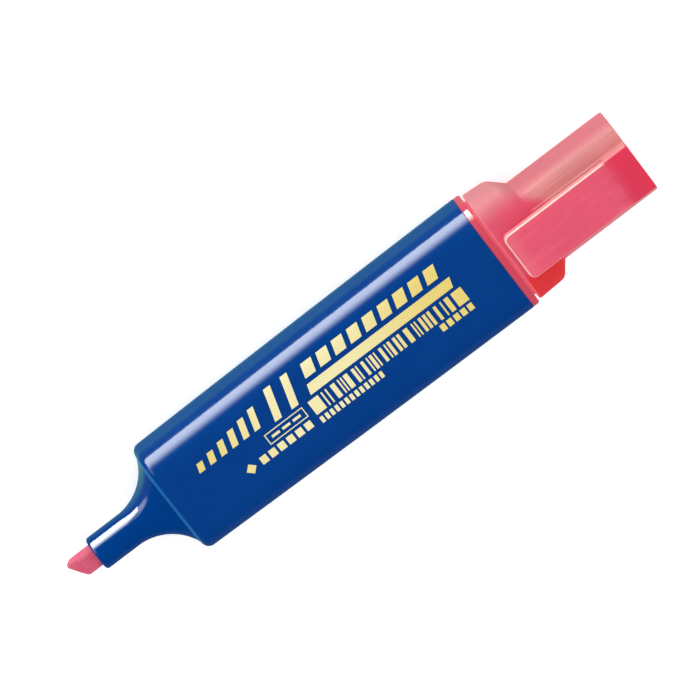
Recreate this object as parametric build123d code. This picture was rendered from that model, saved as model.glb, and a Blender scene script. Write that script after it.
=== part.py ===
from build123d import *

import math
import os

# A flat highlighter pen with its cap posted on the tail, as separate pieces.
#
# X runs along the pen: the nib points toward -X and the posted cap toward +X.
# Y runs across the width. Z is up, away from the flat back face the pen rests on.
# The origin is the middle of that back face. All sizes are in millimetres.

# How closely an edge's position must match the plane it is looked for in.
POSITION_TOLERANCE = 0.001

# Barrel: flat front and back, bowed sides, four rounded long edges.
BARREL_LENGTH = 84.4
BARREL_THICKNESS = 16.0
BARREL_FRONT_WIDTH = 25.7
BARREL_MIDDLE_WIDTH = 26.9
BARREL_REAR_WIDTH = 27.6
BARREL_LONG_EDGE_RADIUS = 6.0
BARREL_WALL = 1.5
BARREL_FRONT_ROUNDING = 1.9
AXIS_HEIGHT = BARREL_THICKNESS / 2
FRONT_X = -BARREL_LENGTH / 2
REAR_X = BARREL_LENGTH / 2
SHORTEST_LONG_EDGE = 0.9 * BARREL_LENGTH

# Nose piece: a round tube that opens in a trumpet to the barrel's front.
TUBE_RADIUS = 3.9
TUBE_LENGTH = 9.1
TUBE_TIP_ROUNDING = 0.75
FLARE_LENGTH = 9.8
FLARE_BASE_HALF_WIDTH = 10.8
FLARE_BASE_HALF_THICKNESS = 6.1
FLARE_BASE_POWER = 4.2
ROUND_POWER = 2
QUARTER_STEPS = 8
DIGITS = 12
FLARE_SECTIONS = 9
GROOVE_DEPTH = 0.5
NOSE_WALL = 1.2
NOSE_HOLLOW_START = 0.4
NOSE_SLOT_END = 0.45
SPIGOT_LENGTH = 6.5
PRESS_GAP = 0.02
FLARE_START_X = FRONT_X - FLARE_LENGTH
TUBE_TIP_X = FLARE_START_X - TUBE_LENGTH

# Nib: a bar of felt cut to a chisel, its long corner on the +Y side.
NIB_WIDTH = 4.9
NIB_THICKNESS = 3.2
NIB_BAR_ROUNDING = 0.9
NIB_PROTRUSION = 6.35
NIB_POINT_Y = 1.7
NIB_CHISEL_ANGLE = 54.0
NIB_SHOULDER_LENGTH = 2.9
NIB_HEEL_ROUNDING = 1.5
NIB_POINT_ROUNDING = 0.3
NIB_EDGE_HALF_THICKNESS = 0.45
NIB_TAPER_LENGTH = 3.2
NIB_REAR_X = -35.5
NIB_TIP_X = TUBE_TIP_X - NIB_PROTRUSION
NIB_SLOT_GAP = 0.03
VENT_GROOVE_WIDTH = 0.9
VENT_GROOVE_DEPTH = 0.6

# Ink reservoir: a flattened bundle of fibre in a film sleeve.
RESERVOIR_FRONT_X = -38.4
RESERVOIR_REAR_X = 34.0
RESERVOIR_HALF_WIDTH = 8.5
RESERVOIR_HALF_THICKNESS = 4.4
RESERVOIR_CORNER = 4.2
WRAP_THICKNESS = 0.12
RAIL_WIDTH = 1.2
RAIL_GAP = 0.03
RAIL_FRONT_X = -34.0
RAIL_REAR_X = 33.0
RAIL_OFFSET_Y = 5.0
SIDE_RAIL_OUTER_Y = 12.4

# Tail plug: closes the barrel and carries the boss the cap is posted on.
FLANGE_THICKNESS = 1.55
FLANGE_INSET = 0.06
FLANGE_REAR_ROUNDING = 0.45
FLANGE_FRONT_CHAMFER = 0.15
PLUG_SKIRT_LENGTH = 6.0
PLUG_WALL = 1.3
STOP_FINGER_WIDTH = 1.6
STOP_FINGER_OFFSET_Y = 5.2
STOP_FINGER_HEIGHT = 2.0
STOP_FINGER_GAP = 0.05
BOSS_LENGTH = 4.3
BOSS_END_ROUNDING = 0.6

# Cap: a wide skirt at the mouth, a sloping shoulder, then a narrow flat body.
CAP_POSTING_GAP = 0.4
CAP_LENGTH = 33.3
CAP_WALL = 1.3
CAP_RUNNING_GAP = 0.05
SKIRT_HALF_WIDTH = 13.2
SKIRT_HALF_THICKNESS = 7.4
SKIRT_CORNER = 5.4
SKIRT_LENGTH = 5.0
SKIRT_DRAFT = 0.3
SHOULDER_LENGTH = 4.05
SKIRT_END_LEAN = 10.0
SHOULDER_FOOT_LEAN = 3.0
SHOULDER_ROUNDING = 2.3
SHOULDER_SECTIONS = 8
STEEPEST_SHOULDER = 80.0
SLOPE_TOLERANCE = 1e-9
NARROW_HALF_WIDTH = 9.5
NARROW_HALF_THICKNESS = 6.0
NARROW_CORNER = 3.8
NARROW_WALL = 1.2
CAP_MOUTH_ROUNDING = 0.45
CAP_END_ROUNDING = 0.5
FLANGE_REAR_X = REAR_X + FLANGE_THICKNESS
CAP_MOUTH_X = FLANGE_REAR_X + CAP_POSTING_GAP
CAP_END_X = CAP_MOUTH_X + CAP_LENGTH

# Clip: a straight plate over the cap's front face, joined at the closed end.
CLIP_WIDTH = 11.4
CLIP_THICKNESS = 1.6
CLIP_TOP_ABOVE_AXIS = 11.7
CLIP_FREE_END_INSET = 1.3
CLIP_ROOT_LENGTH = 5.9
CLIP_ROOT_END_INSET = 0.1
CLIP_CORNER = 1.4
CLIP_EDGE_ROUNDING = 0.45
CLIP_ROOT_GAP = 0.02
CLIP_ROOT_END_ROUNDING = 0.4
CLIP_STEM_TOP_HALF_WIDTH = 5.2
CLIP_STEM_FOOT_HALF_WIDTH = 4.6
CLIP_BEAD_HEIGHT = 0.8
CLIP_BEAD_LENGTH = 1.6
CLIP_BEAD_SET_BACK = 1.2
CLIP_TOP_Z = AXIS_HEIGHT + CLIP_TOP_ABOVE_AXIS
CLIP_UNDERSIDE_Z = CLIP_TOP_Z - CLIP_THICKNESS
CLIP_ROOT_X = CAP_END_X - CLIP_ROOT_LENGTH
CLIP_ROOT_END_X = CAP_END_X - CLIP_ROOT_END_INSET

# Inner sleeve of the cap: seals round the nose tube when the pen is capped.
SLEEVE_MOUTH_DEPTH = 10.6
SLEEVE_OUTER_RADIUS = 4.75
SLEEVE_BORE_RADIUS = 3.95
SLEEVE_BORE_LENGTH = 9.0
SLEEVE_NIB_RADIUS = 3.4
SLEEVE_FLOOR = 1.0
SLEEVE_MOUTH_CHAMFER = 0.35
SLEEVE_RIB_THICKNESS = 1.0
SLEEVE_RIB_BITE = 0.4
SLEEVE_RIB_SET_BACK = 1.5
SLEEVE_RIB_GAP = 0.03


def cross_section(x, half_width, half_thickness, corner, lean=0.0):
    """A rounded rectangle across the pen at station x, centred on the pen's axis.

    With a lean in degrees, the section's front side is carried toward the closed end.
    """
    angle = math.radians(lean)
    facing = (math.cos(angle), 0, -math.sin(angle))
    plane = Plane(origin=(x, 0, AXIS_HEIGHT), x_dir=(0, 1, 0), z_dir=facing)
    return plane * RectangleRounded(2 * half_width, 2 * half_thickness / math.cos(angle), corner)


def prism(x_start, x_end, half_width, half_thickness, corner):
    """A straight length of one rounded-rectangle section."""
    section = cross_section(x_start, half_width, half_thickness, corner)
    return extrude(section, amount=x_end - x_start)


def rod(x_start, x_end, radius):
    """A round length on the pen's axis."""
    plane = Plane(origin=(x_start, 0, AXIS_HEIGHT), x_dir=(0, 1, 0), z_dir=(1, 0, 0))
    return extrude(plane * Circle(radius), amount=x_end - x_start)


def block(x_range, y_range, z_range):
    """A box between two corners, each range given as (low, high)."""
    size = [high - low for low, high in (x_range, y_range, z_range)]
    middle = [(low + high) / 2 for low, high in (x_range, y_range, z_range)]
    return Pos(*middle) * Box(*size)


def slab(x_start, x_end):
    """All the space between two stations, for cutting a form to length."""
    reach = 2 * BARREL_REAR_WIDTH
    return block((x_start, x_end), (-reach, reach), (-reach, reach))


def end_edges(solid, x):
    """The edges of a solid that lie in the plane across the pen at x."""
    return solid.edges().filter_by_position(Axis.X, x - POSITION_TOLERANCE, x + POSITION_TOLERANCE)


def barrel_form(inset):
    """The barrel's outer form, moved in by inset on every long face."""
    front = BARREL_FRONT_WIDTH / 2 - inset
    middle = BARREL_MIDDLE_WIDTH / 2 - inset
    rear = BARREL_REAR_WIDTH / 2 - inset
    outline = Line((FRONT_X, -front), (FRONT_X, front))
    outline += ThreePointArc((FRONT_X, front), (0, middle), (REAR_X, rear))
    outline += Line((REAR_X, rear), (REAR_X, -rear))
    outline += ThreePointArc((REAR_X, -rear), (0, -middle), (FRONT_X, -front))
    form = extrude(Pos(0, 0, inset) * make_face(outline), amount=BARREL_THICKNESS - 2 * inset)
    long_edges = form.edges().filter_by(lambda edge: edge.length > SHORTEST_LONG_EDGE)
    return fillet(long_edges, BARREL_LONG_EDGE_RADIUS - inset)


def reservoir_rails():
    """Six ribs along the barrel's inside that keep the reservoir centred."""
    half_thickness = RESERVOIR_HALF_THICKNESS + WRAP_THICKNESS + RAIL_GAP
    half_width = RESERVOIR_HALF_WIDTH + WRAP_THICKNESS + RAIL_GAP
    along = (RAIL_FRONT_X, RAIL_REAR_X)
    into_wall = BARREL_WALL / 2
    rails = []
    for side in (-1, 1):
        for y in (-RAIL_OFFSET_Y, RAIL_OFFSET_Y):
            near = AXIS_HEIGHT + side * half_thickness
            far = AXIS_HEIGHT + side * (AXIS_HEIGHT - into_wall)
            across = (y - RAIL_WIDTH / 2, y + RAIL_WIDTH / 2)
            rails.append(block(along, across, (min(near, far), max(near, far))))
        near = side * half_width
        far = side * SIDE_RAIL_OUTER_Y
        upright = (AXIS_HEIGHT - RAIL_WIDTH / 2, AXIS_HEIGHT + RAIL_WIDTH / 2)
        rails.append(block(along, (min(near, far), max(near, far)), upright))
    return rails


def make_barrel():
    """The open-ended outer shell, with the reservoir rails inside."""
    shell = barrel_form(0)
    shell = fillet(end_edges(shell, FRONT_X), BARREL_FRONT_ROUNDING)
    shell -= barrel_form(BARREL_WALL)
    for rail in reservoir_rails():
        shell += rail
    return shell


def flare_growth(distance, growth):
    """How far a concave arc, tangent to the tube, has opened at a distance along the flare."""
    radius = (FLARE_LENGTH**2 + growth**2) / (2 * growth)
    return radius - math.sqrt(radius**2 - distance**2)


def squircle_quarter(half_width, half_thickness, power, quarter):
    """A quarter of an outline that is an ellipse at power 2 and squarer as power grows."""
    points = []
    for step in range(QUARTER_STEPS + 1):
        turn = math.radians(90 * (quarter + step / QUARTER_STEPS))
        across, upright = round(math.cos(turn), DIGITS), round(math.sin(turn), DIGITS)
        y = half_width * math.copysign(abs(across) ** (2 / power), across)
        z = half_thickness * math.copysign(abs(upright) ** (2 / power), upright)
        points.append((y, z))
    if power == ROUND_POWER:
        return ThreePointArc(points[0], points[QUARTER_STEPS // 2], points[-1])
    directions = []
    for turn in (math.radians(90 * quarter), math.radians(90 * (quarter + 1))):
        directions.append((-round(math.sin(turn)), round(math.cos(turn))))
    return Spline(*points, tangents=directions)


def squircle(x, half_width, half_thickness, power):
    """The whole rounded outline across the pen at station x, as a face."""
    plane = Plane(origin=(x, 0, AXIS_HEIGHT), x_dir=(0, 1, 0), z_dir=(1, 0, 0))
    quarters = [squircle_quarter(half_width, half_thickness, power, k) for k in range(4)]
    return plane * make_face(quarters)


def flare_section(distance, inset):
    """The trumpet's section at a distance along it: round at the tube, squarer at the base."""
    width_growth = FLARE_BASE_HALF_WIDTH - TUBE_RADIUS
    thickness_growth = FLARE_BASE_HALF_THICKNESS - TUBE_RADIUS
    half_width = TUBE_RADIUS + flare_growth(distance, width_growth) - inset
    half_thickness = TUBE_RADIUS + flare_growth(distance, thickness_growth) - inset
    share = distance / FLARE_LENGTH
    power = ROUND_POWER + (FLARE_BASE_POWER - ROUND_POWER) * share
    return squircle(FLARE_START_X + distance, half_width, half_thickness, power)


def flare(inset, start, end):
    """The trumpet between two distances along it, moved in by inset."""
    sections = []
    for step in range(FLARE_SECTIONS):
        share = math.sin(step / (FLARE_SECTIONS - 1) * math.pi / 2)
        sections.append(flare_section(start + (end - start) * share, inset))
    return loft(sections)


def nib_slot():
    """The passage through the nose tube: the nib's own section with two vent grooves."""
    half_width = NIB_WIDTH / 2 + NIB_SLOT_GAP
    half_thickness = NIB_THICKNESS / 2 + NIB_SLOT_GAP
    slot_end_x = FLARE_START_X + NOSE_SLOT_END * FLARE_LENGTH
    slot = prism(TUBE_TIP_X, slot_end_x, half_width, half_thickness, NIB_BAR_ROUNDING)
    groove_reach = half_thickness + VENT_GROOVE_DEPTH
    half_groove = VENT_GROOVE_WIDTH / 2
    for y in (-NIB_WIDTH / 4, NIB_WIDTH / 4):
        across = (y - half_groove, y + half_groove)
        upright = (AXIS_HEIGHT - groove_reach, AXIS_HEIGHT + groove_reach)
        slot += block((TUBE_TIP_X + TUBE_TIP_ROUNDING, slot_end_x), across, upright)
    return slot


def make_front_section():
    """The nose: tube, trumpet flare, and a hollow spigot pressed into the barrel."""
    tube = rod(TUBE_TIP_X, FLARE_START_X, TUBE_RADIUS)
    tube = fillet(end_edges(tube, TUBE_TIP_X), TUBE_TIP_ROUNDING)
    spigot_start = FRONT_X + GROOVE_DEPTH
    spigot_end = spigot_start + SPIGOT_LENGTH
    spigot = barrel_form(BARREL_WALL + PRESS_GAP) & slab(spigot_start, spigot_end)
    base = extrude(flare_section(FLARE_LENGTH, 0), amount=GROOVE_DEPTH)
    nose = tube + flare(0, 0, FLARE_LENGTH) + base + spigot
    nose -= flare(NOSE_WALL, NOSE_HOLLOW_START * FLARE_LENGTH, FLARE_LENGTH)
    nose -= extrude(flare_section(FLARE_LENGTH, NOSE_WALL), amount=GROOVE_DEPTH + SPIGOT_LENGTH)
    nose -= nib_slot()
    return nose


def nib_outline():
    """The nib seen from above: a straight bar that ends in a slanted, softly cornered edge."""
    half = NIB_WIDTH / 2
    slope = math.tan(math.radians(NIB_CHISEL_ANGLE))
    heel_x = NIB_TIP_X + (NIB_POINT_Y + half) / slope
    shoulder_x = NIB_TIP_X + NIB_SHOULDER_LENGTH
    outline = Line((NIB_REAR_X, -half), (heel_x, -half))
    outline += Line((heel_x, -half), (NIB_TIP_X, NIB_POINT_Y))
    outline += TangentArc((shoulder_x, half), (NIB_TIP_X, NIB_POINT_Y), tangent=(-1, 0))
    outline += Line((shoulder_x, half), (NIB_REAR_X, half))
    outline += Line((NIB_REAR_X, half), (NIB_REAR_X, -half))
    return make_face(outline)


def nib_side_profile():
    """The nib seen from the side: full thickness, then two arcs closing to a thin edge."""
    full = NIB_THICKNESS / 2
    taper_x = NIB_TIP_X + NIB_TAPER_LENGTH
    profile = Line((NIB_TIP_X, -NIB_EDGE_HALF_THICKNESS), (NIB_TIP_X, NIB_EDGE_HALF_THICKNESS))
    for side in (-1, 1):
        edge = (NIB_TIP_X, side * NIB_EDGE_HALF_THICKNESS)
        profile += TangentArc((taper_x, side * full), edge, tangent=(-1, 0))
        profile += Line((taper_x, side * full), (NIB_REAR_X, side * full))
    profile += Line((NIB_REAR_X, -full), (NIB_REAR_X, full))
    plane = Plane(origin=(0, NIB_WIDTH, AXIS_HEIGHT), x_dir=(1, 0, 0), z_dir=(0, -1, 0))
    return plane * make_face(profile)


def make_nib():
    """The felt nib, from its chisel edge to the end that sits in the reservoir."""
    below = AXIS_HEIGHT - NIB_THICKNESS / 2
    bar = extrude(Pos(0, 0, below) * nib_outline(), amount=NIB_THICKNESS)
    heel = bar.edges().filter_by(Axis.Z).sort_by(Axis.Y)[:2].sort_by(Axis.X)[0]
    bar = fillet([heel], NIB_HEEL_ROUNDING)
    point = bar.edges().filter_by(Axis.Z).sort_by(Axis.X)[0]
    bar = fillet([point], NIB_POINT_ROUNDING)
    bar &= prism(NIB_TIP_X, NIB_REAR_X, NIB_WIDTH / 2, NIB_THICKNESS / 2, NIB_BAR_ROUNDING)
    return bar & extrude(nib_side_profile(), amount=2 * NIB_WIDTH)


def nib_pocket():
    """The hole the nib's rear end makes in the reservoir."""
    return prism(RESERVOIR_FRONT_X, NIB_REAR_X + NIB_SLOT_GAP, NIB_WIDTH / 2 + NIB_SLOT_GAP,
                 NIB_THICKNESS / 2 + NIB_SLOT_GAP, NIB_BAR_ROUNDING)


def make_ink_reservoir():
    """The fibre bundle that holds the ink."""
    bundle = prism(RESERVOIR_FRONT_X, RESERVOIR_REAR_X, RESERVOIR_HALF_WIDTH,
                   RESERVOIR_HALF_THICKNESS, RESERVOIR_CORNER)
    return bundle - nib_pocket()


def make_reservoir_wrap():
    """The film sleeve round the fibre bundle."""
    outer = prism(RESERVOIR_FRONT_X, RESERVOIR_REAR_X, RESERVOIR_HALF_WIDTH + WRAP_THICKNESS,
                  RESERVOIR_HALF_THICKNESS + WRAP_THICKNESS, RESERVOIR_CORNER + WRAP_THICKNESS)
    return outer - prism(RESERVOIR_FRONT_X, RESERVOIR_REAR_X, RESERVOIR_HALF_WIDTH,
                         RESERVOIR_HALF_THICKNESS, RESERVOIR_CORNER)


def boss_size(inset):
    """Half width, half thickness and corner of the posting boss, moved in by inset."""
    shrink = CAP_WALL + CAP_RUNNING_GAP + inset
    return SKIRT_HALF_WIDTH - shrink, SKIRT_HALF_THICKNESS - shrink, SKIRT_CORNER - shrink


def stop_fingers():
    """Four fingers on the plug's skirt that keep the reservoir from sliding back."""
    skirt_inside = AXIS_HEIGHT - BARREL_WALL - PRESS_GAP - PLUG_WALL
    fingers = []
    for y in (-STOP_FINGER_OFFSET_Y, STOP_FINGER_OFFSET_Y):
        for side in (-1, 1):
            near = AXIS_HEIGHT + side * (skirt_inside - STOP_FINGER_HEIGHT)
            far = AXIS_HEIGHT + side * (skirt_inside + PLUG_WALL / 2)
            across = (y - STOP_FINGER_WIDTH / 2, y + STOP_FINGER_WIDTH / 2)
            along = (RESERVOIR_REAR_X + STOP_FINGER_GAP, REAR_X)
            fingers.append(block(along, across, (min(near, far), max(near, far))))
    return fingers


def make_tail_plug():
    """Flange, the skirt that snaps into the barrel, and the hollow posting boss."""
    rear_half_width = BARREL_REAR_WIDTH / 2 - FLANGE_INSET
    flange = prism(REAR_X, FLANGE_REAR_X, rear_half_width, AXIS_HEIGHT - FLANGE_INSET,
                   BARREL_LONG_EDGE_RADIUS - FLANGE_INSET)
    flange = fillet(end_edges(flange, FLANGE_REAR_X), FLANGE_REAR_ROUNDING)
    flange = chamfer(end_edges(flange, REAR_X), FLANGE_FRONT_CHAMFER)
    skirt_start = REAR_X - PLUG_SKIRT_LENGTH
    skirt = barrel_form(BARREL_WALL + PRESS_GAP) & slab(skirt_start, REAR_X)
    skirt -= barrel_form(BARREL_WALL + PRESS_GAP + PLUG_WALL) & slab(skirt_start, REAR_X)
    boss = prism(FLANGE_REAR_X, FLANGE_REAR_X + BOSS_LENGTH, *boss_size(0))
    boss = fillet(end_edges(boss, FLANGE_REAR_X + BOSS_LENGTH), BOSS_END_ROUNDING)
    plug = skirt + flange + boss
    plug -= prism(REAR_X, FLANGE_REAR_X + BOSS_LENGTH - PLUG_WALL, *boss_size(PLUG_WALL))
    for finger in stop_fingers():
        plug += finger
    return plug


def shoulder_slope():
    """The shoulder's angle, found so its rounding and straight part lose the right width."""
    drop = SKIRT_HALF_WIDTH - SKIRT_DRAFT - NARROW_HALF_WIDTH
    low, high = 0.0, math.radians(STEEPEST_SHOULDER)
    while high - low > SLOPE_TOLERANCE:
        angle = (low + high) / 2
        reached = SHOULDER_ROUNDING * (1 - math.cos(angle))
        reached += (SHOULDER_LENGTH - SHOULDER_ROUNDING * math.sin(angle)) * math.tan(angle)
        if reached < drop:
            low = angle
        else:
            high = angle
    return (low + high) / 2


def shoulder_share(distance, angle):
    """Share of the shoulder's drop already lost at a distance along it."""
    drop = SKIRT_HALF_WIDTH - SKIRT_DRAFT - NARROW_HALF_WIDTH
    rounded = SHOULDER_ROUNDING * math.sin(angle)
    if distance <= rounded:
        lost = SHOULDER_ROUNDING - math.sqrt(SHOULDER_ROUNDING**2 - distance**2)
    else:
        lost = SHOULDER_ROUNDING * (1 - math.cos(angle)) + (distance - rounded) * math.tan(angle)
    return lost / drop


def cap_section(x, share, inset):
    """The cap's section: share 0 is the skirt at the shoulder, share 1 the narrow body."""
    skirt = (SKIRT_HALF_WIDTH - SKIRT_DRAFT, SKIRT_HALF_THICKNESS - SKIRT_DRAFT,
             SKIRT_CORNER - SKIRT_DRAFT)
    narrow = (NARROW_HALF_WIDTH, NARROW_HALF_THICKNESS, NARROW_CORNER)
    sizes = [wide + (slim - wide) * share - inset for wide, slim in zip(skirt, narrow)]
    lean = SKIRT_END_LEAN + (SHOULDER_FOOT_LEAN - SKIRT_END_LEAN) * share
    return cross_section(x, *sizes, lean)


def cap_shoulder(shift, skirt_inset, narrow_inset):
    """The sloping part between skirt and narrow body, moved in and shifted toward the mouth."""
    angle = shoulder_slope()
    rounded = SHOULDER_ROUNDING * math.sin(angle)
    stations = [rounded * step / (SHOULDER_SECTIONS - 1) for step in range(SHOULDER_SECTIONS)]
    curved = []
    for distance in stations:
        share = shoulder_share(distance, angle)
        inset = skirt_inset + (narrow_inset - skirt_inset) * share
        x = CAP_MOUTH_X + SKIRT_LENGTH + distance - shift
        curved.append(cap_section(x, share, inset))
    foot_x = CAP_MOUTH_X + SKIRT_LENGTH + SHOULDER_LENGTH - shift
    foot = cap_section(foot_x, 1, narrow_inset)
    return loft(curved) + loft([curved[-1], foot], ruled=True)


def leaning_prism(x_start, x_end, inset):
    """The narrow body from its leaning foot to a square end, moved in by inset."""
    square_end = cross_section(x_end, NARROW_HALF_WIDTH - inset, NARROW_HALF_THICKNESS - inset,
                               NARROW_CORNER - inset)
    return loft([cap_section(x_start, 1, inset), square_end], ruled=True)


def cap_outside():
    """Skirt, shoulder and narrow body as one solid form."""
    mouth = cross_section(CAP_MOUTH_X, SKIRT_HALF_WIDTH, SKIRT_HALF_THICKNESS, SKIRT_CORNER)
    skirt = loft([mouth, cap_section(CAP_MOUTH_X + SKIRT_LENGTH, 0, 0)], ruled=True)
    narrow = leaning_prism(CAP_MOUTH_X + SKIRT_LENGTH + SHOULDER_LENGTH, CAP_END_X, 0)
    narrow = fillet(end_edges(narrow, CAP_END_X), CAP_END_ROUNDING)
    skirt = fillet(end_edges(skirt, CAP_MOUTH_X), CAP_MOUTH_ROUNDING)
    return skirt + cap_shoulder(0, 0, 0) + narrow


def cap_cavity():
    """The space inside the cap, open at the mouth."""
    shift = CAP_WALL * math.tan(shoulder_slope() / 2)
    shoulder_x = CAP_MOUTH_X + SKIRT_LENGTH - shift
    skirt_wall = CAP_WALL - SKIRT_DRAFT
    mouth = cross_section(CAP_MOUTH_X, *boss_size(-CAP_RUNNING_GAP))
    skirt = loft([mouth, cap_section(shoulder_x, 0, skirt_wall)], ruled=True)
    narrow = leaning_prism(shoulder_x + SHOULDER_LENGTH, CAP_END_X - CAP_WALL, NARROW_WALL)
    return skirt + cap_shoulder(shift, skirt_wall, NARROW_WALL) + narrow


def clip_root():
    """What carries the clip's plate: the plate's own end on a stem that narrows to the cap's face."""
    half = CLIP_WIDTH / 2
    root = block((CLIP_ROOT_X, CLIP_ROOT_END_X), (-half, half), (CLIP_UNDERSIDE_Z, CLIP_TOP_Z))
    long_top = root.edges().filter_by(Axis.X).sort_by(Axis.Z)[-2:]
    root = fillet(long_top, CLIP_EDGE_ROUNDING)
    end_top = end_edges(root, CLIP_ROOT_END_X).sort_by(Axis.Z)[-3:]
    root = fillet(end_top, CLIP_ROOT_END_ROUNDING)
    foot_z = AXIS_HEIGHT + NARROW_HALF_THICKNESS - NARROW_WALL / 2
    corners = [(-CLIP_STEM_FOOT_HALF_WIDTH, foot_z), (CLIP_STEM_FOOT_HALF_WIDTH, foot_z),
               (CLIP_STEM_TOP_HALF_WIDTH, CLIP_UNDERSIDE_Z), (-CLIP_STEM_TOP_HALF_WIDTH, CLIP_UNDERSIDE_Z)]
    plane = Plane(origin=(CLIP_ROOT_X, 0, 0), x_dir=(0, 1, 0), z_dir=(1, 0, 0))
    stem = plane * make_face(Polyline(*corners, close=True))
    return root + extrude(stem, amount=CLIP_ROOT_END_X - CLIP_ROOT_X)


def make_cap_shell():
    """The cap with the solid root of its clip."""
    return cap_outside() + clip_root() - cap_cavity()


def make_cap_clip():
    """The springy plate of the clip, with a bead under its free end that grips cloth."""
    free_x = CAP_MOUTH_X + CLIP_FREE_END_INSET
    root_x = CLIP_ROOT_X - CLIP_ROOT_GAP
    half = CLIP_WIDTH / 2
    plate = block((free_x, root_x), (-half, half), (CLIP_UNDERSIDE_Z, CLIP_TOP_Z))
    free_corners = plate.edges().filter_by(Axis.Z).sort_by(Axis.X)[:2]
    plate = fillet(free_corners, CLIP_CORNER)
    top_rim = plate.faces().sort_by(Axis.Z)[-1].edges()
    top_rim = top_rim.filter_by(lambda edge: edge.center().X < root_x - CLIP_EDGE_ROUNDING)
    plate = fillet(top_rim, CLIP_EDGE_ROUNDING)
    bead_x = free_x + CLIP_BEAD_SET_BACK + CLIP_BEAD_LENGTH / 2
    bead_origin = (bead_x, half - CLIP_CORNER, CLIP_UNDERSIDE_Z)
    bead_plane = Plane(origin=bead_origin, x_dir=(1, 0, 0), z_dir=(0, -1, 0))
    bead_profile = bead_plane * Ellipse(CLIP_BEAD_LENGTH / 2, CLIP_BEAD_HEIGHT)
    return plate + extrude(bead_profile, amount=CLIP_WIDTH - 2 * CLIP_CORNER)


def make_cap_inner_sleeve():
    """The round sleeve in the cap, closed at its far end, held by two side ribs."""
    mouth_x = CAP_MOUTH_X + SLEEVE_MOUTH_DEPTH
    end_x = CAP_END_X - CAP_WALL
    tube = rod(mouth_x, end_x, SLEEVE_OUTER_RADIUS)
    for side in (-1, 1):
        reach = NARROW_HALF_WIDTH - NARROW_WALL - SLEEVE_RIB_GAP
        near = side * (SLEEVE_OUTER_RADIUS - SLEEVE_RIB_BITE)
        far = side * reach
        upright = (AXIS_HEIGHT - SLEEVE_RIB_THICKNESS / 2, AXIS_HEIGHT + SLEEVE_RIB_THICKNESS / 2)
        along = (mouth_x + SLEEVE_RIB_SET_BACK, end_x)
        tube += block(along, (min(near, far), max(near, far)), upright)
    tube -= rod(mouth_x, mouth_x + SLEEVE_BORE_LENGTH, SLEEVE_BORE_RADIUS)
    tube -= rod(mouth_x, end_x - SLEEVE_FLOOR, SLEEVE_NIB_RADIUS)
    mouth_edges = end_edges(tube, mouth_x).filter_by(GeomType.CIRCLE).sort_by(SortBy.RADIUS)
    return chamfer(mouth_edges[0], SLEEVE_MOUTH_CHAMFER)


PIECES = {
    "barrel": make_barrel,
    "front_section": make_front_section,
    "nib": make_nib,
    "ink_reservoir": make_ink_reservoir,
    "reservoir_wrap": make_reservoir_wrap,
    "tail_plug": make_tail_plug,
    "cap_shell": make_cap_shell,
    "cap_clip": make_cap_clip,
    "cap_inner_sleeve": make_cap_inner_sleeve,
}

os.makedirs("parts", exist_ok=True)
for name, make in PIECES.items():
    piece = make()
    piece.label = name
    export_step(piece, f"parts/{name}.step")
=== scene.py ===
import math
import random

import bpy
from mathutils import Matrix, Vector
from mathutils.bvhtree import BVHTree


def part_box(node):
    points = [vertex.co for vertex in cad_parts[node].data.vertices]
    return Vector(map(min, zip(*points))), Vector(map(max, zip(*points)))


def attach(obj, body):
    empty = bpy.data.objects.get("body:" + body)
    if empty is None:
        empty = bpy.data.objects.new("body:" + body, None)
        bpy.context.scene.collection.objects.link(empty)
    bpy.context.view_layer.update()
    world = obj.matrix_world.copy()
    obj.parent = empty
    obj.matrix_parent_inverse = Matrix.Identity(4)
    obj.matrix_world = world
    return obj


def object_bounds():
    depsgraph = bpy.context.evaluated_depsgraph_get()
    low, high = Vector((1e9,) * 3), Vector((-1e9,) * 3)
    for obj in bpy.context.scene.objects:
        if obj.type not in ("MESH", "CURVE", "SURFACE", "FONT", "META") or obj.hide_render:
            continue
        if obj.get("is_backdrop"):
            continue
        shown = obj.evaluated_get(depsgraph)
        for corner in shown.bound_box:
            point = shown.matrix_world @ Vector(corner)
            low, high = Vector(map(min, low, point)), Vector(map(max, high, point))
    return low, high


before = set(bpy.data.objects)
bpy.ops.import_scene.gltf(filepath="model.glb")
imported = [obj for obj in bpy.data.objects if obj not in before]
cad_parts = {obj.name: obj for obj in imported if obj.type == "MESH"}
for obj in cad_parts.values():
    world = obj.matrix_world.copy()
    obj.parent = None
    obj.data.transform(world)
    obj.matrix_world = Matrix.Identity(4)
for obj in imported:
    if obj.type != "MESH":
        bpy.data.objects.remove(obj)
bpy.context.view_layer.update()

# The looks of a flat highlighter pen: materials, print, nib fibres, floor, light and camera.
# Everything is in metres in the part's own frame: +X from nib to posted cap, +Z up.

MM = 0.001
# The pen's long axis above the flat face it lies on.
AXIS_HEIGHT = 8 * MM


# ---------------------------------------------------------------- colour and node helpers


def srgb(red, green, blue):
    """An 8-bit display colour as linear light."""
    channels = []
    for value in (red, green, blue):
        share = value / 255
        if share <= 0.04045:
            channels.append(share / 12.92)
        else:
            channels.append(((share + 0.055) / 1.055) ** 2.4)
    return (*channels, 1.0)


WHITE = (1, 1, 1, 1)
BLACK = (0, 0, 0, 1)
# What a moulded colour is multiplied by in its darker patches.
MOULDING_SHADE = (0.93, 0.95, 0.96, 1)


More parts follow.
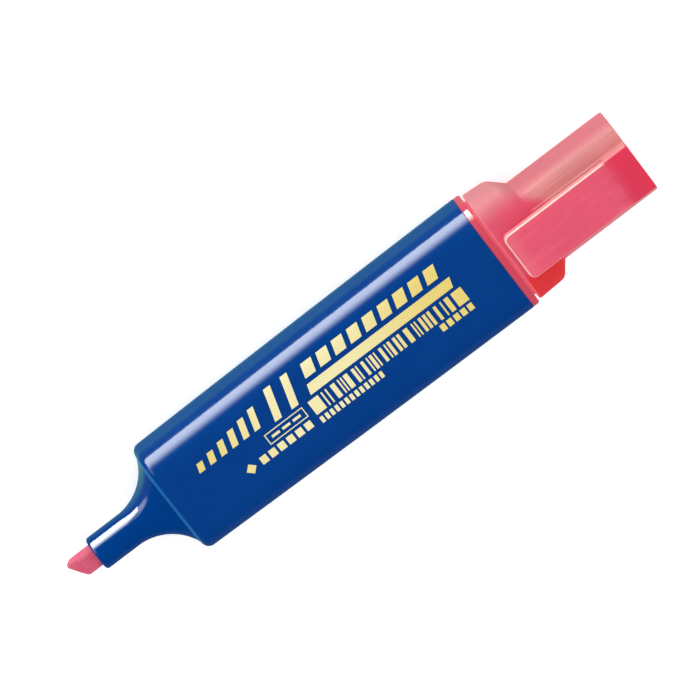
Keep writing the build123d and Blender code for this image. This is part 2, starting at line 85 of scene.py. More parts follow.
class Nodes:
    """A short way to build a node tree. A share is a value from 0 to 1: how much a zone holds."""

    def __init__(self, tree, coordinates):
        self.tree = tree
        self.place = self.add("ShaderNodeTexCoord").outputs[coordinates]

    def add(self, kind, **settings):
        node = self.tree.nodes.new(kind)
        for key, value in settings.items():
            setattr(node, key, value)
        return node

    def link(self, source, target):
        self.tree.links.new(source, target)

    def fill(self, socket, value):
        """Sets a socket to a number or colour, or links another socket into it."""
        if isinstance(value, bpy.types.NodeSocket):
            self.link(value, socket)
        else:
            socket.default_value = value

    def math(self, operation, first, second=0.0, third=0.0):
        node = self.add("ShaderNodeMath", operation=operation)
        for socket, value in zip(node.inputs, (first, second, third)):
            self.fill(socket, value)
        return node.outputs[0]

    def both(self, first, second):
        """Where two shares both hold, or one share made weaker by a number."""
        return self.math("MULTIPLY", first, second)

    def plus(self, base, share, amount):
        """A base value with an amount added where a share holds."""
        return self.math("MULTIPLY_ADD", share, amount, base)

    def span(self, value, low, high, to_low=0.0, to_high=1.0, curve="SMOOTHSTEP"):
        """A value moved from one range to another, and held at its ends."""
        node = self.add("ShaderNodeMapRange", interpolation_type=curve)
        self.fill(node.inputs["Value"], value)
        for key, number in (("From Min", low), ("From Max", high),
                            ("To Min", to_low), ("To Max", to_high)):
            self.fill(node.inputs[key], number)
        return node.outputs["Result"]

    def after(self, value, fade, start=0.0):
        """0 before a fade and 1 after it; the fade's two ends are measured from the start."""
        low, high = fade
        return self.span(value, start + low, start + high)

    def before(self, value, fade, start=0.0):
        """1 before a fade and 0 after it."""
        return self.math("SUBTRACT", 1.0, self.after(value, fade, start))

    def noise(self, scale, detail=3.0, roughness=0.5, where=None):
        """Cloudy noise from 0 to 1, with the scale in features per metre."""
        node = self.add("ShaderNodeTexNoise")
        self.link(where or self.place, node.inputs["Vector"])
        node.inputs["Scale"].default_value = scale
        node.inputs["Detail"].default_value = detail
        node.inputs["Roughness"].default_value = roughness
        return node.outputs["Fac"]

    def streaks(self, along, across, detail=3.0, roughness=0.5):
        """Noise drawn out along the pen, with features per metre given along and across it."""
        node = self.add("ShaderNodeMapping")
        self.link(self.place, node.inputs["Vector"])
        node.inputs["Scale"].default_value = (along, across, across)
        return self.noise(1, detail, roughness, where=node.outputs["Vector"])

    def ramp(self, value, stops):
        """A colour ramp; stops are (position, linear colour)."""
        node = self.add("ShaderNodeValToRGB")
        self.link(value, node.inputs["Fac"])
        for element, (position, colour) in zip(node.color_ramp.elements, stops):
            element.position = position
            element.color = colour
        return node.outputs["Color"]

    def mix(self, share, first, second, blend="MIX"):
        """The first colour, turning into the second where the share holds."""
        node = self.add("ShaderNodeMix", data_type="RGBA", blend_type=blend)
        self.fill(node.inputs["Factor"], share)
        self.fill(node.inputs["A"], first)
        self.fill(node.inputs["B"], second)
        return node.outputs["Result"]

    def mix_shaders(self, share, first, second):
        node = self.add("ShaderNodeMixShader")
        self.fill(node.inputs["Fac"], share)
        self.link(first, node.inputs[1])
        self.link(second, node.inputs[2])
        return node.outputs[0]

    def split(self, vector):
        """A vector's parts, also by name: X, Y and Z."""
        node = self.add("ShaderNodeSeparateXYZ")
        self.link(vector, node.inputs[0])
        return node.outputs

    def axes(self):
        """The place's x, y and z: metres on an object, a direction in the world."""
        return self.split(self.place)

    def facing(self):
        """The x, y and z of the direction the surface faces."""
        return self.split(self.add("ShaderNodeNewGeometry").outputs["Normal"])

    def bump(self, height, distance, below=None):
        node = self.add("ShaderNodeBump")
        self.link(height, node.inputs["Height"])
        node.inputs["Distance"].default_value = distance
        node.inputs["Strength"].default_value = 1.0
        if below is not None:
            self.link(below, node.inputs["Normal"])
        return node.outputs["Normal"]


class MaterialNodes(Nodes):
    """The node tree of one new material."""

    def __init__(self, name):
        self.material = bpy.data.materials.new(name)
        self.material.use_nodes = True
        super().__init__(self.material.node_tree, "Object")
        self.shader = self.tree.nodes["Principled BSDF"]
        self.output = self.tree.nodes["Material Output"]

    def finish_with(self, **values):
        """Fills the main shader's sockets, named with underscores for spaces."""
        for key, value in values.items():
            self.fill(self.shader.inputs[key.replace("_", " ")], value)

    def translucent(self, surface, normal, share):
        """Lets a share of the light pass through the wall."""
        through = self.add("ShaderNodeBsdfTranslucent")
        self.fill(through.inputs["Color"], surface)
        self.link(normal, through.inputs["Normal"])
        blend = self.mix_shaders(share, self.shader.outputs[0], through.outputs[0])
        self.link(blend, self.output.inputs["Surface"])

    def moulded_detail(self, colour, roughness, waviness, grain):
        """What every moulded piece shares: colour drift, sink waviness, fine grain, handling marks."""
        drift = self.noise(scale=90, detail=2)
        darker = self.mix(1.0, colour, MOULDING_SHADE, blend="MULTIPLY")
        surface = self.mix(self.after(drift, (0.3, 0.7)), darker, colour)
        scuffs = self.streaks(along=90, across=2600, detail=6, roughness=0.65)
        specks = self.noise(scale=5200, detail=2)
        marks = self.both(self.after(scuffs, (0.56, 0.75)), self.after(drift, (0.35, 0.65)))
        rough = self.plus(roughness, marks, 0.12)
        rough = self.plus(rough, specks, 0.05)
        waves = self.streaks(along=38, across=55, detail=1)
        normal = self.bump(waves, waviness)
        normal = self.bump(specks, grain, below=normal)
        self.finish_with(Base_Color=surface, Roughness=rough, Normal=normal)
        return surface, normal


# ---------------------------------------------------------------- colours and colour zones

BODY_BLUE = srgb(0, 62, 138)
# A painted highlight colour for the barrel's front rim.
RIM_HIGHLIGHT_BLUE = srgb(40, 130, 196)
PLUG_PINK = srgb(212, 74, 94)
CAP_PINK = srgb(231, 94, 124)
# A painted highlight colour for the cap's mouth rim.
CAP_RIM_HIGHLIGHT = srgb(244, 176, 180)
# A painted highlight and a red painted shade for the cap's skirt.
SKIRT_LIT = srgb(216, 162, 160)
SKIRT_SHADE_RED = srgb(217, 56, 62)
# Painted light coming through the hollow body's thin walls, and painted shade on its long edges.
HOLLOW_LIT_DEEP = srgb(212, 134, 138)
HOLLOW_LIT_PALE = srgb(220, 156, 150)
HOLLOW_EDGE_SHADE = srgb(206, 110, 124)
CLIP_DARKER = srgb(226, 84, 114)
CLIP_LIGHTER = srgb(232, 98, 124)
# A painted sheen colour for the clip's free end.
CLIP_END_HIGHLIGHT = srgb(238, 150, 156)
ROOT_RED = srgb(226, 46, 82)
# A painted highlight colour, for the line by the clip and the clip's upper edge.
CREAM_HIGHLIGHT = srgb(252, 226, 206)
# A pale painted-light colour for lit walls and sides.
PAINTED_LIGHT_PALE = srgb(236, 158, 160)
# Emission colours for painted glow: the pink plastics light themselves though they are no lamps.
PAINTED_GLOW_PINK = srgb(250, 125, 150)
PAINTED_GLOW_RED = srgb(252, 72, 72)
SLEEVE_MILK = srgb(238, 206, 206)
NIB_PINK = srgb(215, 82, 114)
RESERVOIR_PINK = srgb(236, 140, 165)
FELT_DARK = srgb(190, 40, 80)
FELT_PALE = srgb(255, 200, 212)
FILM_PINK = srgb(240, 190, 200)
GOLD = srgb(240, 217, 120)
GOLD_PALE = srgb(250, 240, 184)
GOLD_DEEP = srgb(214, 186, 96)
GOLD_WORN = srgb(150, 160, 150)

# Fades along the pen, measured from the barrel's front end; they place the painted highlight line on
# its rim.
RIM_HIGHLIGHT_START = (-0.35 * MM, -0.1 * MM)
RIM_HIGHLIGHT_END = (0.15 * MM, 0.6 * MM)

# Fades along the pen, measured from the cap's mouth. They place painted light: the glow in the plug's
# gap, the highlight on the mouth's rim, the highlight line by the clip and the paler hollow body.
GAP_GLOW_START = (-0.55 * MM, -0.35 * MM)
GAP_GLOW_END = (0.0, 0.8 * MM)
MOUTH_RIM_END = (0.1 * MM, 0.5 * MM)
SKIRT_END = (8 * MM, 11 * MM)
SLOT_LINE_START = (9.0 * MM, 10.5 * MM)
HOLLOW_START = (15.8 * MM, 19.0 * MM)
HOLLOW_SLANT = 0.8

# Fades across the cap, measured from the pen's middle plane; they place painted shade on the hollow
# body's long edges and the skirt's -Y side, and painted highlights on the skirt's +Y side and in the
# line by the clip.
HOLLOW_EDGE_SHADE_FADE = (8.2 * MM, 9.4 * MM)
SKIRT_LIT_SIDE = (8.0 * MM, 14.2 * MM)
SKIRT_SHADED_SIDE = (-7.4 * MM, -3.4 * MM)
SLOT_LINE_Y = 4.65 * MM
SLOT_LINE_HALF_WIDTH = (0.08 * MM, 0.3 * MM)

# Fades upward, measured from the broad face of the cap's narrow body.
CAP_FACE_HEIGHT = AXIS_HEIGHT + 6 * MM
SLOT_LINE_BOTTOM = (-0.5 * MM, -0.2 * MM)
ROOT_BOTTOM = (0.15 * MM, 0.3 * MM)

# Fades along the clip, measured from the end of the plate that meets the root; CLIP_LINE_FADE dims the
# painted highlight line there.
ROOT_START = (-0.2 * MM, 0.0)
ROOT_REDNESS = (-1.5 * MM, 3.2 * MM)
CLIP_LINE_FADE = 1.0 * MM

# Fades along and across the clip's plate, measured from its free end and the middle plane; they place
# its painted sheen and dim its painted highlight line.
CLIP_END_SHEEN = (0.0, 4.5 * MM)
CLIP_LINE_DIM_SIDE = (-5.6 * MM, -3.5 * MM)
CLIP_LINE_DIMMEST = 0.3

# Fades by how far a surface faces up, from 0 on a wall to 1 on a level face.
# EDGE_TO_FACE has its high end first, so it falls where the others rise.
# These paint the clip's walls pale and put a painted highlight line where wall meets face.
WALL = (0.1, 0.3)
EDGE_FROM_WALL = (0.1, 0.35)
EDGE_TO_FACE = (0.98, 0.9)
# A fade by how far a surface faces along Y; it paints the root's sideways faces pale.
SIDEWAYS = (0.75, 0.95)

# Fades along the barrel, where the gold print turns paler and back.
PRINT_PALER = (-34 * MM, -12 * MM)
PRINT_DEEPER = (0.0, 30 * MM)

# How far cloudy noise moves the edge of a zone.
HOLLOW_RAGGED = 1.6 * MM
LIT_SIDE_RAGGED = 1.2 * MM
ROOT_RAGGED = 1.5 * MM

# How much the cap's plastic glows with painted light, and what its red and pale zones add.
CAP_PAINTED_GLOW = 0.15
ZONE_PAINTED_GLOW = 0.12


# ---------------------------------------------------------------- materials


def blue_plastic(name, roughness, gloss):
    """The body's deep glossy blue, with a painted highlight: lighter where the barrel's thin front rim
    catches light.
    """
    nodes = MaterialNodes(name)
    x = nodes.axes()["X"]
    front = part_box("barrel")[0].x
    # Painted highlight: a lighter blue line along the barrel's front rim.
    rim = nodes.both(nodes.before(x, RIM_HIGHLIGHT_END, front), nodes.after(x, RIM_HIGHLIGHT_START, front))
    colour = nodes.mix(nodes.both(rim, 0.7), BODY_BLUE, RIM_HIGHLIGHT_BLUE)
    nodes.moulded_detail(colour, roughness, waviness=0.05 * MM, grain=0.0012 * MM)
    nodes.finish_with(IOR=1.5, Specular_IOR_Level=gloss)
    return nodes.material


def plug_plastic():
    """The tail plug's glossy pink, with painted glow: it glows instead of shining in the gap before the
    cap's mouth, where shade falls.
    """
    nodes = MaterialNodes("plug_pink_gloss")
    nodes.moulded_detail(PLUG_PINK, roughness=0.07, waviness=0.02 * MM, grain=0.0015 * MM)
    x = nodes.axes()["X"]
    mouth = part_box("cap_shell")[0].x
    glowing_gap = nodes.both(nodes.after(x, GAP_GLOW_START, mouth), nodes.before(x, GAP_GLOW_END, mouth))
    # Painted glow: the plug lights itself a little everywhere and most in the shaded gap.
    glow = nodes.span(glowing_gap, 0.0, 1.0, to_low=0.06, to_high=0.36)
    gloss = nodes.span(glowing_gap, 0.0, 1.0, to_low=0.9, to_high=0.05)
    nodes.finish_with(Specular_IOR_Level=gloss, Subsurface_Weight=0.15,
                      Subsurface_Radius=(1.0, 0.35, 0.3), Subsurface_Scale=0.8 * MM,
                      Emission_Color=PAINTED_GLOW_PINK, Emission_Strength=glow)
    return nodes.material


def clip_pink(nodes, x, cloud):
    """The clip's pink with faint flow streaks, deeper and redder toward the solid root."""
    root_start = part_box("cap_clip")[1].x
    flow = nodes.streaks(along=130, across=700, detail=5, roughness=0.6)
    colour = nodes.mix(nodes.after(flow, (0.45, 0.75)), CLIP_DARKER, CLIP_LIGHTER)
    ragged_x = nodes.plus(x, cloud, ROOT_RAGGED)
    return nodes.mix(nodes.after(ragged_x, ROOT_REDNESS, root_start), colour, ROOT_RED)


def hollow_share(nodes, x, y, cloud, mouth):
    """The hollow body, where painted light stands for light coming through its walls; it begins further
    from the mouth toward the middle of the face.
    """
    slanted = nodes.plus(x, nodes.math("ABSOLUTE", y), HOLLOW_SLANT)
    slanted = nodes.plus(slanted, cloud, HOLLOW_RAGGED)
    return nodes.after(slanted, HOLLOW_START, mouth)


def hollow_lit_pink(nodes, y, hollow):
    """Painted light and shade: pale drawn streaks over the hollow body, where light comes through its
    thin walls, and deeper painted shade where its long edges are seen edge on.
    """
    drawn = nodes.streaks(along=60, across=3200, detail=5, roughness=0.6)
    pale = nodes.mix(nodes.after(drawn, (0.35, 0.7)), HOLLOW_LIT_DEEP, HOLLOW_LIT_PALE)
    colour = nodes.mix(hollow, CAP_PINK, pale)
    # Painted shade along the long edges, seen edge on.
    long_edge = nodes.after(nodes.math("ABSOLUTE", y), HOLLOW_EDGE_SHADE_FADE)
    return nodes.mix(nodes.both(long_edge, hollow), colour, HOLLOW_EDGE_SHADE)


def skirt_sides(nodes, x, y, cloud, mouth):
    """The skirt's two sides, painted: +Y, which catches light, gets a painted highlight, and -Y gets
    deep red painted shade.
    """
    at_skirt = nodes.before(x, SKIRT_END, mouth)
    lit_side = nodes.after(nodes.plus(y, cloud, LIT_SIDE_RAGGED), SKIRT_LIT_SIDE)
    lit_skirt = nodes.both(nodes.both(lit_side, 0.75), at_skirt)
    shaded_skirt = nodes.both(nodes.before(y, SKIRT_SHADED_SIDE), at_skirt)
    return lit_skirt, shaded_skirt


def slot_highlight_line(nodes, place, cloud, mouth):
    """A painted highlight: the pale line along the body, where the slot under the clip catches light.
    """
    x, y, z = place
    beside_line = nodes.math("ABSOLUTE", nodes.math("SUBTRACT", y, SLOT_LINE_Y))
    line = nodes.before(beside_line, SLOT_LINE_HALF_WIDTH)
    line = nodes.both(line, nodes.after(x, SLOT_LINE_START, mouth))
    line = nodes.both(line, nodes.after(z, SLOT_LINE_BOTTOM, CAP_FACE_HEIGHT))
    return nodes.both(line, nodes.plus(0.2, cloud, 0.9))


def cap_plastic():
    """Satin translucent pink, deep over the tail boss and red at the root, with painted light: paler
    along the hollow body, a highlight and red shade on the skirt, a line by the clip, pale root sides,
    a lit mouth rim and a glow.
    """
    nodes = MaterialNodes("cap_pink_satin")
    x, y, z = nodes.axes()
    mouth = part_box("cap_shell")[0].x
    cloud = nodes.noise(scale=160, detail=3)
    hollow = hollow_share(nodes, x, y, cloud, mouth)
    # Painted light through the hollow body, with painted shade on its long edges.
    colour = hollow_lit_pink(nodes, y, hollow)
    lit_skirt, shaded_skirt = skirt_sides(nodes, x, y, cloud, mouth)
    # Painted highlight on the skirt's +Y side, painted red shade on its -Y side.
    colour = nodes.mix(lit_skirt, colour, SKIRT_LIT)
    colour = nodes.mix(shaded_skirt, colour, SKIRT_SHADE_RED)
    # Painted highlight: the pale line beside the clip.
    colour = nodes.mix(slot_highlight_line(nodes, (x, y, z), cloud, mouth), colour, CREAM_HIGHLIGHT)
    root = nodes.both(nodes.after(z, ROOT_BOTTOM, CAP_FACE_HEIGHT),
                      nodes.after(x, ROOT_START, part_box("cap_clip")[1].x))
    colour = nodes.mix(root, colour, clip_pink(nodes, x, cloud))
    # Painted highlight: the root's sideways faces are painted pale.
    sideways = nodes.after(nodes.math("ABSOLUTE", nodes.facing()["Y"]), SIDEWAYS)
    colour = nodes.mix(nodes.both(root, sideways), colour, PAINTED_LIGHT_PALE)
    # Painted highlight on the rounded rim of the cap's mouth.
    mouth_rim_highlight = nodes.before(x, MOUTH_RIM_END, mouth)
    colour = nodes.mix(nodes.both(mouth_rim_highlight, 0.7), colour, CAP_RIM_HIGHLIGHT)
    surface, normal = nodes.moulded_detail(colour, roughness=0.5, waviness=0.03 * MM, grain=0.003 * MM)
    # Painted glow over the whole cap, stronger on the red-shaded skirt side and on the pale hollow
    # body.
    glowing_hollow_body = nodes.both(hollow, nodes.math("SUBTRACT", 1.0, root))
    glow = nodes.plus(CAP_PAINTED_GLOW, shaded_skirt, ZONE_PAINTED_GLOW)
    glow = nodes.plus(glow, glowing_hollow_body, ZONE_PAINTED_GLOW)
    painted_glow_colour = nodes.mix(glowing_hollow_body, nodes.mix(shaded_skirt, PAINTED_GLOW_PINK, PAINTED_GLOW_RED), PAINTED_LIGHT_PALE)
    nodes.finish_with(Specular_IOR_Level=0.1, Emission_Strength=glow, Emission_Color=painted_glow_colour)
    nodes.translucent(surface, normal, share=0.3)
    return nodes.material


def clip_plastic():
    """The same plastic on the clip's plate, with painted light: pale painted sides, a painted highlight
    line round its upper edge and a painted sheen near its free end.
    """
    nodes = MaterialNodes("clip_pink_satin")
    place = nodes.axes()
    x, y = place["X"], place["Y"]
    facing_up = nodes.facing()["Z"]
    low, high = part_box("cap_clip")
    cloud = nodes.noise(scale=140, detail=3)
    colour = clip_pink(nodes, x, cloud)
    # Painted sheen near the clip's free end.
    near_end_sheen = nodes.both(nodes.before(x, CLIP_END_SHEEN, low.x), nodes.both(cloud, 0.5))
    colour = nodes.mix(near_end_sheen, colour, CLIP_END_HIGHLIGHT)
    # Painted light: pale walls, and a painted highlight line round the upper edge.
    colour = nodes.mix(nodes.before(facing_up, WALL), colour, PAINTED_LIGHT_PALE)
    line = nodes.both(nodes.after(facing_up, EDGE_FROM_WALL), nodes.after(facing_up, EDGE_TO_FACE))
    dimmer = nodes.span(y, *CLIP_LINE_DIM_SIDE, to_low=CLIP_LINE_DIMMEST, to_high=1.0)
    fading = nodes.span(x, high.x - CLIP_LINE_FADE, high.x, to_low=1.0, to_high=CLIP_LINE_DIMMEST)
    line = nodes.both(nodes.both(line, dimmer), fading)
    colour = nodes.mix(line, colour, CREAM_HIGHLIGHT)
    surface, normal = nodes.moulded_detail(colour, roughness=0.42, waviness=0.03 * MM, grain=0.003 * MM)
    # Painted glow: the clip lights itself a little.
    nodes.finish_with(Specular_IOR_Level=0.22, Emission_Color=PAINTED_GLOW_PINK, Emission_Strength=0.17)
    nodes.translucent(surface, normal, share=0.25)
    return nodes.material


def sleeve_plastic():
    """The cap's inner sleeve: natural milky plastic."""
    nodes = MaterialNodes("sleeve_natural")
    surface, normal = nodes.moulded_detail(SLEEVE_MILK, roughness=0.4, waviness=0.01 * MM,
                                           grain=0.002 * MM)
    nodes.translucent(surface, normal, share=0.4)
    return nodes.material


def felt(name, colour, streaks_across, streak_depth):
    """Bonded fibre: long pale and dark streaks along the pen, and a matted surface."""
    nodes = MaterialNodes(name)
    fibres = nodes.streaks(along=260, across=streaks_across, detail=8, roughness=0.7)
    matted = nodes.noise(scale=7000, detail=4, roughness=0.7)
    dark = nodes.mix(0.2, colour, FELT_DARK)
    pale = nodes.mix(0.14, colour, FELT_PALE)
    streaked = nodes.mix(nodes.after(fibres, (0.34, 0.66)), dark, pale)
    soaked = nodes.after(nodes.noise(scale=420, detail=3), (0.42, 0.7))
    normal = nodes.bump(fibres, streak_depth)
    normal = nodes.bump(matted, streak_depth * 0.4, below=normal)
    nodes.finish_with(Base_Color=nodes.mix(soaked, streaked, colour), Roughness=0.75, Normal=normal,
                      Specular_IOR_Level=0.2, Subsurface_Weight=0.3,
                      Subsurface_Radius=(1.0, 0.4, 0.4), Subsurface_Scale=0.5 * MM)
    return nodes.material


def film():
    """The reservoir's sleeve: thin milky film that lets half the light through."""
    nodes = MaterialNodes("wrap_film")
    surface, normal = nodes.moulded_detail(FILM_PINK, roughness=0.2, waviness=0.06 * MM,
                                           grain=0.001 * MM)
    nodes.translucent(surface, normal, share=0.5)
    return nodes.material


def print_ink():
    """Gold print, paler along the middle of the barrel, with the thin patches of pad printing."""
    nodes = MaterialNodes("print_gold")
    x = nodes.axes()["X"]
    paler = nodes.both(nodes.after(x, PRINT_PALER), nodes.before(x, PRINT_DEEPER))
    colour = nodes.mix(paler, GOLD, GOLD_PALE)
    thin = nodes.noise(scale=2600, detail=5, roughness=0.7)
    worn = nodes.after(thin, (0.66, 0.8))
    colour = nodes.mix(nodes.both(worn, 0.35), colour, GOLD_WORN)
    drift = nodes.noise(scale=300, detail=2)
    colour = nodes.mix(nodes.both(drift, 0.14), colour, GOLD_DEEP)
    normal = nodes.bump(thin, 0.003 * MM)
    nodes.finish_with(Base_Color=colour, Roughness=0.38, Normal=normal)
    return nodes.material


def paint(node, material):
    """Gives a CAD node one material."""
    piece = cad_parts[node]
    piece.data.materials.clear()
    piece.data.materials.append(material)


def paint_cad_nodes():
    paint("barrel", blue_plastic("barrel_blue_gloss", roughness=0.11, gloss=0.4))
    paint("front_section", blue_plastic("nose_blue_gloss", roughness=0.04, gloss=0.9))
    paint("nib", felt("nib_felt", NIB_PINK, streaks_across=5200, streak_depth=0.025 * MM))
    paint("ink_reservoir", felt("reservoir_fibre", RESERVOIR_PINK, streaks_across=3000,
                                streak_depth=0.03 * MM))
    paint("reservoir_wrap", film())
    paint("tail_plug", plug_plastic())
    paint("cap_shell", cap_plastic())
    paint("cap_clip", clip_plastic())
    paint("cap_inner_sleeve", sleeve_plastic())


# ---------------------------------------------------------------- print on the barrel

# The rounding of the barrel's long edges.
EDGE_RADIUS = 6 * MM
# The width is looked up from this far out, a little above the middle of the barrel's side.
LOOK_FROM = 0.1
LOOK_ABOVE_AXIS = 0.5 * MM

PRINT_LIFT = 0.02 * MM
PRINT_DEPTH = 0.06 * MM
PRINT_STEP = 0.7 * MM
PRINT_COLUMN_STEP = 6 * PRINT_STEP
MOST_COLUMNS = 12
SMALLEST_SIDE = 0.2

# From here on print is laid out in mm: x along the pen, and reach round the barrel's section.
PRINT_LEAN = 0.28
BAND_LOW, BAND_HIGH = -1.85, 1.65
FIRST_BLOCK = (-6.9, -4.3)
LAST_BLOCK = (30.0, 32.6)
BARS_START, BARS_END = -3.6, 29.2
BAR_WIDTHS = (0.35, 0.35, 0.7, 1.1)
BAR_GAPS = (0.4, 0.7, 1.0)
BOX_LEFT, BOX_RIGHT = -18.2, -8.4
BOX_LOW, BOX_HIGH = -0.95, 1.65
BOX_LINE = 0.22
DIAMOND_X, DIAMOND_REACH = -24.4, -2.6
DIAMOND_HALF = 1.25


class BarrelSkin:
    """Wraps flat marks onto the barrel: x along the pen, reach measured round its section."""

    def __init__(self):
        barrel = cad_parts["barrel"]
        corners = [v.co.copy() for v in barrel.data.vertices]
        self.tree = BVHTree.FromPolygons(corners, [tuple(p.vertices) for p in barrel.data.polygons])
        self.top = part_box("barrel")[1].z

    def half_width(self, x):
        """Half the barrel's width at x, found by looking in from the side."""
        start = Vector((x, LOOK_FROM, AXIS_HEIGHT + LOOK_ABOVE_AXIS))
        hit = self.tree.ray_cast(start, Vector((0, -1, 0)))
        return hit[0].y

    def point(self, x, reach, lift):
        """The point at a distance round the section from the middle of the front face."""
        flat = self.half_width(x) - EDGE_RADIUS
        past = abs(reach) - flat
        if past <= 0:
            return Vector((x, reach, self.top + lift))
        turn = past / EDGE_RADIUS
        side = math.copysign(1, reach)
        radius = EDGE_RADIUS + lift
        return Vector((x, side * (flat + radius * math.sin(turn)),
                       self.top - EDGE_RADIUS + radius * math.cos(turn)))


def within_patch(corners, along, up):
    """The place at a share along and a share up a four-cornered patch."""
    (x0, r0), (x1, r1), (x2, r2), (x3, r3) = corners
    x = (x0 * (1 - along) + x1 * along) * (1 - up) + (x3 * (1 - along) + x2 * along) * up
    reach = (r0 * (1 - along) + r1 * along) * (1 - up) + (r3 * (1 - along) + r2 * along) * up
    return x, reach


def grid_size(corners):
    """How many columns and rows a patch needs to follow the barrel's curve."""
    (x0, r0), (x1, r1), (x2, r2), (x3, r3) = corners
    length = max(abs(x1 - x0), abs(x2 - x3), SMALLEST_SIDE) * MM
    height = max(abs(r3 - r0), abs(r2 - r1), SMALLEST_SIDE) * MM
    columns = max(1, min(MOST_COLUMNS, math.ceil(length / PRINT_COLUMN_STEP)))
    rows = max(1, math.ceil(height / PRINT_STEP))
    return columns, rows


def grid_mark(skin, corners, verts, faces):
    """Adds one raised closed patch; corners are (x, reach) in mm, given round the patch."""
    columns, rows = grid_size(corners)
    start = len(verts)
    for lift in (PRINT_LIFT, PRINT_LIFT - PRINT_DEPTH):
        for row in range(rows + 1):
            for column in range(columns + 1):
                x, reach = within_patch(corners, column / columns, row / rows)
                verts.append(skin.point(x * MM, reach * MM, lift))
    wide = columns + 1
    under = (rows + 1) * wide
    for row in range(rows):
        for column in range(columns):
            a = start + row * wide + column
            faces.append((a, a + 1, a + wide + 1, a + wide))
            faces.append((a + under, a + under + wide, a + under + wide + 1, a + under + 1))
    rim = [start + c for c in range(wide)]
    rim += [start + r * wide + columns for r in range(1, rows + 1)]
    rim += [start + rows * wide + c for c in range(columns - 1, -1, -1)]
    rim += [start + r * wide for r in range(rows - 1, 0, -1)]
    for here, there in zip(rim, rim[1:] + rim[:1]):
        faces.append((here, here + under, there + under, there))


def leaning(left, right, low, high, lean=PRINT_LEAN):
    """A parallelogram that leans toward +X as it rises."""
    shift = lean * (high - low)
    return [(left, low), (right, low), (right + shift, high), (left + shift, high)]


def upright(left, right, low, high):
    """A plain rectangle."""
    return leaning(left, right, low, high, lean=0.0)


def mark_row(count, first, pitch, width, low, high, growth=0.0, lean=0.0):
    """Marks side by side from the first one's left edge, each one higher by the growth."""
    marks = []
    for index in range(count):
        left = first + pitch * index
        marks.append(leaning(left, left + width, low, high + growth * index, lean))
    return marks


def stroke_marks():
    """A plain motif: leaning strokes that grow along the pen, two tall ones, then a row of dashes."""
    marks = mark_row(count=6, first=-33.4, pitch=2.85, width=1.5, low=3.5, high=5.6, growth=0.55,
                     lean=PRINT_LEAN)
    marks += mark_row(count=2, first=-14.6, pitch=4.3, width=1.75, low=2.5, high=9.7, lean=PRINT_LEAN)
    marks += mark_row(count=9, first=-4.2, pitch=3.95, width=2.7, low=6.1, high=9.3, lean=PRINT_LEAN)
    return marks


def bar_marks():
    """A band of plain bars of mixed widths between two solid blocks, with ticks below."""
    order = random.Random(4)
    marks = [upright(*FIRST_BLOCK, BAND_LOW, BAND_HIGH), upright(*LAST_BLOCK, BAND_LOW, BAND_HIGH)]
    left = BARS_START
    while left < BARS_END:
        width = order.choice(BAR_WIDTHS)
        marks.append(upright(left, left + width, BAND_LOW, BAND_HIGH))
        left += width + order.choice(BAR_GAPS)
    marks += mark_row(count=13, first=FIRST_BLOCK[0], pitch=1.27, width=0.8, low=-4.1, high=-2.6)
    marks += mark_row(count=5, first=24.2, pitch=1.75, width=1.25, low=-4.1, high=-2.5)
    return marks


def box_marks():
    """An outlined box with three dashes in it, and a row of dashes below."""
    above_line, below_line = BOX_LOW + BOX_LINE, BOX_HIGH - BOX_LINE
    marks = [upright(BOX_LEFT, BOX_RIGHT, BOX_LOW, above_line),
             upright(BOX_LEFT, BOX_RIGHT, below_line, BOX_HIGH),
             upright(BOX_LEFT, BOX_LEFT + BOX_LINE, above_line, below_line),
             upright(BOX_RIGHT - BOX_LINE, BOX_RIGHT, above_line, below_line)]
    marks += mark_row(count=3, first=BOX_LEFT + 1.2, pitch=2.7, width=2.0, low=0.05, high=0.65)
    marks += mark_row(count=6, first=-21.9, pitch=2.3, width=1.65, low=-3.5, high=-1.7)
    return marks


def diamond_mark():
    """A plain diamond at the start of the lower row."""
    return [(DIAMOND_X - DIAMOND_HALF, DIAMOND_REACH), (DIAMOND_X, DIAMOND_REACH - DIAMOND_HALF),
            (DIAMOND_X + DIAMOND_HALF, DIAMOND_REACH), (DIAMOND_X, DIAMOND_REACH + DIAMOND_HALF)]


def print_piece(name, marks, skin, material):
    """One named piece of print that rides on the pen's body."""
    verts, faces = [], []
    for corners in marks:
        grid_mark(skin, corners, verts, faces)
    mesh = bpy.data.meshes.new(name)
    mesh.from_pydata(verts, [], faces)
    mesh.update()
    piece = bpy.data.objects.new(name, mesh)
    bpy.context.scene.collection.objects.link(piece)
    mesh.materials.append(material)
    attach(piece, "pen_body")


def make_print():
    skin = BarrelSkin()
    ink = print_ink()
    stripe = [leaning(left=-5.4, right=31.4, low=2.5, high=4.9)]
    print_piece("print_strokes", stroke_marks(), skin, ink)
    print_piece("print_stripe", stripe, skin, ink)
    print_piece("print_bars", bar_marks(), skin, ink)
    print_piece("print_box", box_marks() + [diamond_mark()], skin, ink)


# ---------------------------------------------------------------- floor, light, camera

FLOOR_SIZE = 6
FLOOR_DROP = 0.05 * MM
FLOOR_GREYS = ((0.86, 0.86, 0.86, 1), (0.9, 0.9, 0.9, 1))
FLOOR_GLOW = 0.45

WORLD_STRENGTH = 0.78
# What reflections see, by the height of the direction they look in: -1 is straight down.
LOW_GLOW = (0.09, 0.09, 0.1, 1)
LOW_GLOW_TOP = 0.3
TABLE_TINT = (0.16, 0.42, 0.3, 1)
TABLE_ALL, TABLE_NONE = -0.98, -0.6
NOSE_LAMP_DIRECTION = (-0.69, 0.63, 0.36)
NOSE_LAMP_EDGE = 0.88
NOSE_LAMP_STRENGTH = 3.0

SCREEN_STEPS = 24
SCREEN_COLOUR = (0.97, 1.0, 0.93, 1.0)

